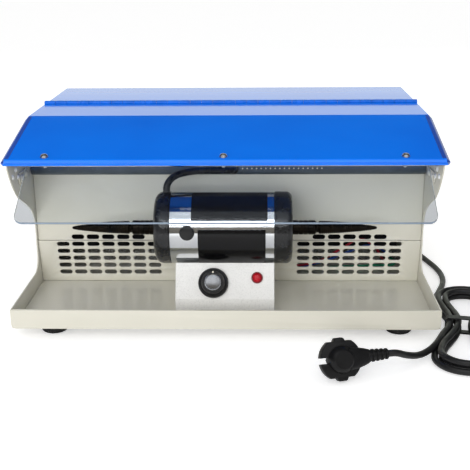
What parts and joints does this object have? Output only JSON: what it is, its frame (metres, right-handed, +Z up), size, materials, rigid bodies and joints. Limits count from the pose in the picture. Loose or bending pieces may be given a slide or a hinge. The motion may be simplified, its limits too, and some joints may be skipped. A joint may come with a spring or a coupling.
{
  "type": "polishing machine",
  "caption": "Bench polishing machine with a double-ended motor in an open tray under a hinged blue hood with a clear shield, and dust fans behind a slotted panel.",
  "frame": {"origin": "centre of the machine on the plane its feet stand on, without the mains cord", "axes": "+X to the right seen from the front, +Y to the back, +Z up"},
  "size_m": [0.5061, 0.5162, 0.2066],
  "materials": {
    "beige_paint": "satin",
    "hammered_paint": "fine speckled, satin",
    "blue_paint": "gloss",
    "hinge_paint": "gloss",
    "zinc_steel": "zinc plated",
    "polished_steel": "polished",
    "chrome_cap": "spun",
    "motor_steel": "bare",
    "black_oxide": "blackened",
    "black_enamel": "gloss",
    "black_label": "gloss",
    "black_plastic": "satin",
    "black_plug": "satin",
    "black_tie": "satin",
    "black_sleeve": "satin",
    "black_cord": "satin",
    "black_rubber": "matt",
    "slate_plastic": "satin",
    "led_board": "satin",
    "fan_plastic": "satin",
    "circuit_board": "satin",
    "filter_foam": "open foam",
    "red_wire": "satin",
    "blue_wire": "satin",
    "green_wire": "satin",
    "clear_acrylic": "clear",
    "red_lens": "translucent red"
  },
  "bodies": {
    "machine": {"base_tray": "beige_paint", "side_panel_left": "beige_paint", "side_panel_right": "beige_paint", "foot_front_left": "black_rubber", "foot_front_right": "black_rubber", "foot_rear_left": "black_rubber", "foot_rear_right": "black_rubber", "upper_back_panel": "beige_paint", "grille_panel": "beige_paint", "rear_panel": "beige_paint", "rear_top_plate": "blue_paint", "hinge_leaf_rear": "hinge_paint", "hinge_pin": "zinc_steel", "lid_rest_left": "zinc_steel", "lid_rest_right": "zinc_steel", "light_bar": "slate_plastic", "led_strip": "led_board", "motor_barrel": "polished_steel", "motor_cap_left": "black_enamel", "motor_cap_right": "black_enamel", "name_plate": "black_label", "motor_saddle": "black_plastic", "brush_cap_front": "black_plastic", "brush_cap_rear": "black_plastic", "bearing_left": "zinc_steel", "bearing_right": "zinc_steel", "motor_lead": "black_sleeve", "lead_grommet": "black_rubber", "control_pedestal": "hammered_paint", "speed_potentiometer": "zinc_steel", "pilot_lamp": "red_lens", "speed_control_board": "circuit_board", "fan_frame_left": "fan_plastic", "fan_frame_right": "fan_plastic", "fan_guard_left": "polished_steel", "fan_guard_right": "polished_steel", "filter_frame": "zinc_steel", "filter_pad": "filter_foam", "wire_red": "red_wire", "wire_blue": "blue_wire", "wire_green": "green_wire", "cord_gland": "black_rubber", "mains_cord": "black_cord", "cord_hank": "black_cord", "cord_tail": "black_cord", "hank_tie": "black_tie", "mains_plug": "black_plug"},
    "lid": {"front_lid": "blue_paint", "hinge_leaf_lid": "hinge_paint", "shield": "clear_acrylic", "shield_bolt_left": "zinc_steel", "shield_bolt_middle": "zinc_steel", "shield_bolt_right": "zinc_steel"},
    "motor_rotor": {"rotor": "motor_steel", "spindle_left": "black_oxide", "spindle_right": "black_oxide"},
    "knob": {"speed_knob": "black_plastic", "knob_cap": "chrome_cap"},
    "fan_rotor_left": {"fan_impeller_left": "fan_plastic"},
    "fan_rotor_right": {"fan_impeller_right": "fan_plastic"}
  },
  "joints": [
    {"name": "lid_hinge", "type": "hinge", "parent": "machine", "child": "lid", "pos_m": [0, 0.06407, 0.2038], "axis": [-1, 0, 0], "range_deg": [0, 175]},
    {"name": "motor_spin", "type": "hinge", "parent": "machine", "child": "motor_rotor", "pos_m": [-0.0028, -0.07543, 0.0943], "axis": [1, 0, 0], "continuous": true},
    {"name": "knob_turn", "type": "hinge", "parent": "machine", "child": "knob", "pos_m": [-0.0128, -0.1131, 0.04601], "axis": [0, 0.8985, -0.4389], "range_deg": [-135, 135]},
    {"name": "fan_spin_left", "type": "hinge", "parent": "machine", "child": "fan_rotor_left", "pos_m": [-0.1, 0.17157, 0.108], "axis": [0, 1, 0], "continuous": true},
    {"name": "fan_spin_right", "type": "hinge", "parent": "machine", "child": "fan_rotor_right", "pos_m": [0.1, 0.17157, 0.108], "axis": [0, 1, 0], "continuous": true}
  ]
}
